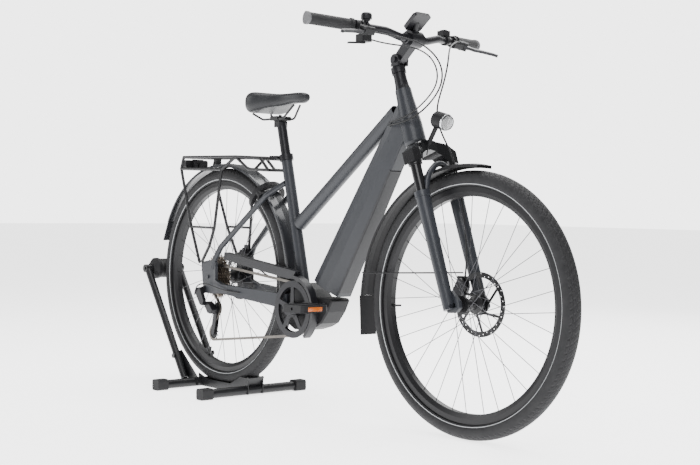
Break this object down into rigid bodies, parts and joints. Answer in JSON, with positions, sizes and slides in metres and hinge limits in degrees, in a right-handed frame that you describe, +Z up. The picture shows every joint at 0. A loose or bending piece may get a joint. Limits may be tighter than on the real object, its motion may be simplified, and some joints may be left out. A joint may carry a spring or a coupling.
{
  "type": "bicycle on stand",
  "caption": "Step-through electric bicycle with luggage carrier, mudguards and lights, held upright by its rear wheel in a tubular display stand with a roller.",
  "frame": {"origin": "on the ground under the middle of the whole object", "axes": "+X forward, +Y to the rider's left, +Z up"},
  "size_m": [1.9368, 0.6881, 1.1631],
  "materials": {
    "frame_paint": "matt",
    "case_paint": "matt",
    "black_plastic": "matt",
    "gloss_guard": "gloss",
    "tyre_rubber": "matt",
    "soft_rubber": "matt",
    "rim_paint": "matt",
    "steel": "satin",
    "black_steel": "satin",
    "black_alloy": "satin",
    "bronze_steel": "satin",
    "saddle_cover": "matt"
  },
  "bodies": {
    "frame": {"head_tube": "frame_paint", "seat_tube": "frame_paint", "top_tube": "frame_paint", "down_tube": "frame_paint", "motor_unit": "black_plastic", "rear_triangle_right": "frame_paint", "rear_triangle_left": "frame_paint", "chain": "bronze_steel", "derailleur": "black_alloy", "chain_guard": "black_plastic", "mudguard_rear": "gloss_guard", "rack": "black_steel", "tail_light": "black_plastic", "ring_lock": "black_plastic", "seat_clamp": "black_alloy", "caliper_rear": "black_alloy", "rear_cables": "soft_rubber", "stand_base": "black_steel"},
    "battery_pack": {"battery": "case_paint"},
    "rear_wheel": {"tyre_rear": "tyre_rubber", "rim_rear": "rim_paint", "spokes_rear": "steel", "hub_rear": "black_steel"},
    "crank": {"crankset": "black_alloy", "chainring": "black_alloy"},
    "sprockets": {"cassette": "bronze_steel"},
    "guide_wheel_upper": {"jockey_upper": "black_plastic"},
    "guide_wheel_lower": {"jockey_lower": "black_plastic"},
    "pedal_r": {"pedal_right": "black_plastic"},
    "pedal_l": {"pedal_left": "black_plastic"},
    "post": {"seat_post": "black_alloy"},
    "seat": {"saddle_rails": "steel", "saddle": "saddle_cover"},
    "quick_release": {"seat_lever": "black_alloy"},
    "lock_lever": {"ring_lock_lever": "black_plastic"},
    "steering": {"fork_crown": "black_alloy", "stem": "black_alloy", "handlebar": "black_alloy", "grips": "soft_rubber", "controls_right": "black_plastic", "controls_left": "black_plastic", "display": "black_plastic", "bell": "black_alloy", "headlamp": "black_plastic", "cable_loop": "soft_rubber", "front_hose": "soft_rubber"},
    "fork_slider": {"fork_lowers": "frame_paint", "caliper_front": "black_alloy", "mudguard_front": "black_plastic"},
    "front_wheel": {"tyre_front": "tyre_rubber", "rim_front": "rim_paint", "spokes_front": "steel", "hub_front": "black_steel"},
    "lever_r": {"brake_lever_right": "black_alloy"},
    "lever_l": {"brake_lever_left": "black_alloy"},
    "shifter": {"shift_lever": "black_plastic"},
    "button": {"remote_button": "black_plastic"},
    "striker": {"bell_lever": "black_alloy"},
    "stand_upright": {"stand_arms": "black_steel"},
    "roller": {"stand_roller": "black_plastic"}
  },
  "joints": [
    {"name": "battery_swing", "type": "hinge", "parent": "frame", "child": "battery_pack", "pos_m": [0.093, 0, 0.3614], "axis": [0, 1, 0], "range_deg": [0, 8]},
    {"name": "rear_wheel_spin", "type": "hinge", "parent": "frame", "child": "rear_wheel", "pos_m": [-0.533, 0, 0.3806], "axis": [0, 1, 0], "continuous": true},
    {"name": "crank_spin", "type": "hinge", "parent": "frame", "child": "crank", "pos_m": [-0.096, 0, 0.302], "axis": [0, 1, 0], "continuous": true},
    {"name": "sprocket_spin", "type": "hinge", "parent": "frame", "child": "sprockets", "pos_m": [-0.533, -0.05, 0.3806], "axis": [0, 1, 0], "continuous": true},
    {"name": "guide_upper_spin", "type": "hinge", "parent": "frame", "child": "guide_wheel_upper", "pos_m": [-0.516, -0.05, 0.277], "axis": [0, 1, 0], "continuous": true},
    {"name": "guide_lower_spin", "type": "hinge", "parent": "frame", "child": "guide_wheel_lower", "pos_m": [-0.531, -0.05, 0.193], "axis": [0, 1, 0], "continuous": true},
    {"name": "pedal_right_spin", "type": "hinge", "parent": "crank", "child": "pedal_r", "pos_m": [0.07294, -0.14, 0.32095], "axis": [0, 1, 0], "continuous": true},
    {"name": "pedal_left_spin", "type": "hinge", "parent": "crank", "child": "pedal_l", "pos_m": [-0.26494, 0.14, 0.28305], "axis": [0, 1, 0], "continuous": true},
    {"name": "seat_post_slide", "type": "slide", "parent": "frame", "child": "post", "axis": [-0.2452, 0, 0.9695], "range_m": [-0.06, 0.08]},
    {"name": "saddle_tilt", "type": "hinge", "parent": "post", "child": "seat", "pos_m": [-0.243, 0, 0.891], "axis": [0, 1, 0], "range_deg": [-7, 7]},
    {"name": "seat_lever_swing", "type": "hinge", "parent": "frame", "child": "quick_release", "pos_m": [-0.24, 0, 0.771], "axis": [0, 1, 0], "range_deg": [0, 80]},
    {"name": "lock_lever_slide", "type": "hinge", "parent": "frame", "child": "lock_lever", "pos_m": [-0.31124, 0, 0.64489], "axis": [0.766, 0, -0.6428], "range_deg": [-64, 8]},
    {"name": "steering_turn", "type": "hinge", "parent": "frame", "child": "steering", "pos_m": [0.333, 0, 0.951], "axis": [-0.3387, 0, 0.9409], "range_deg": [-45, 45], "deforming": ["cable_loop"]},
    {"name": "fork_travel", "type": "slide", "parent": "steering", "child": "fork_slider", "axis": [-0.3387, 0, 0.9409], "range_m": [0, 0.03], "stiffness_N_per_m": 10000, "springref_m": -0.03, "deforming": ["front_hose"]},
    {"name": "front_wheel_spin", "type": "hinge", "parent": "fork_slider", "child": "front_wheel", "pos_m": [0.60772, 0.00314, 0.36098], "axis": [-0.0504, 0.9986, -0.0181], "continuous": true},
    {"name": "brake_lever_right_pull", "type": "hinge", "parent": "steering", "child": "lever_r", "pos_m": [0.38447, -0.20004, 1.09725], "axis": [0.4685, 0.0397, 0.8826], "range_deg": [-18, 0], "stiffness_Nm_per_rad": 1, "springref_deg": 17.19},
    {"name": "brake_lever_left_pull", "type": "hinge", "parent": "steering", "child": "lever_l", "pos_m": [0.36381, 0.20937, 1.08981], "axis": [0.4685, 0.0397, 0.8826], "range_deg": [0, 18], "stiffness_Nm_per_rad": 1, "springref_deg": -17.19},
    {"name": "shift_lever_push", "type": "hinge", "parent": "steering", "child": "shifter", "pos_m": [0.34656, -0.16441, 1.06926], "axis": [-0.0005, 0.0181, 0.9998], "range_deg": [0, 20], "stiffness_Nm_per_rad": 0.1, "springref_deg": -17.19},
    {"name": "remote_button_press", "type": "slide", "parent": "steering", "child": "button", "axis": [0.0005, -0.0181, -0.9998], "range_m": [0, 0.0015], "stiffness_N_per_m": 400, "springref_m": -0.001},
    {"name": "bell_lever_flick", "type": "hinge", "parent": "steering", "child": "striker", "pos_m": [0.35444, -0.15842, 1.12914], "axis": [-0.0005, 0.0181, 0.9998], "range_deg": [0, 25], "stiffness_Nm_per_rad": 0.05, "springref_deg": -17.19},
    {"name": "stand_upright_fold", "type": "hinge", "parent": "frame", "child": "stand_upright", "pos_m": [-0.733, 0, 0.099], "axis": [0, 1, 0], "range_deg": [-35, 0]},
    {"name": "roller_spin", "type": "hinge", "parent": "stand_upright", "child": "roller", "pos_m": [-0.9315, 0, 0.39], "axis": [0, 1, 0], "continuous": true}
  ],
  "couplings": [
    {"joint": "sprocket_spin", "follows": "crank_spin", "ratio": 1.9048},
    {"joint": "guide_upper_spin", "follows": "crank_spin", "ratio": -3.6364},
    {"joint": "guide_lower_spin", "follows": "crank_spin", "ratio": 3.6364}
  ]
}
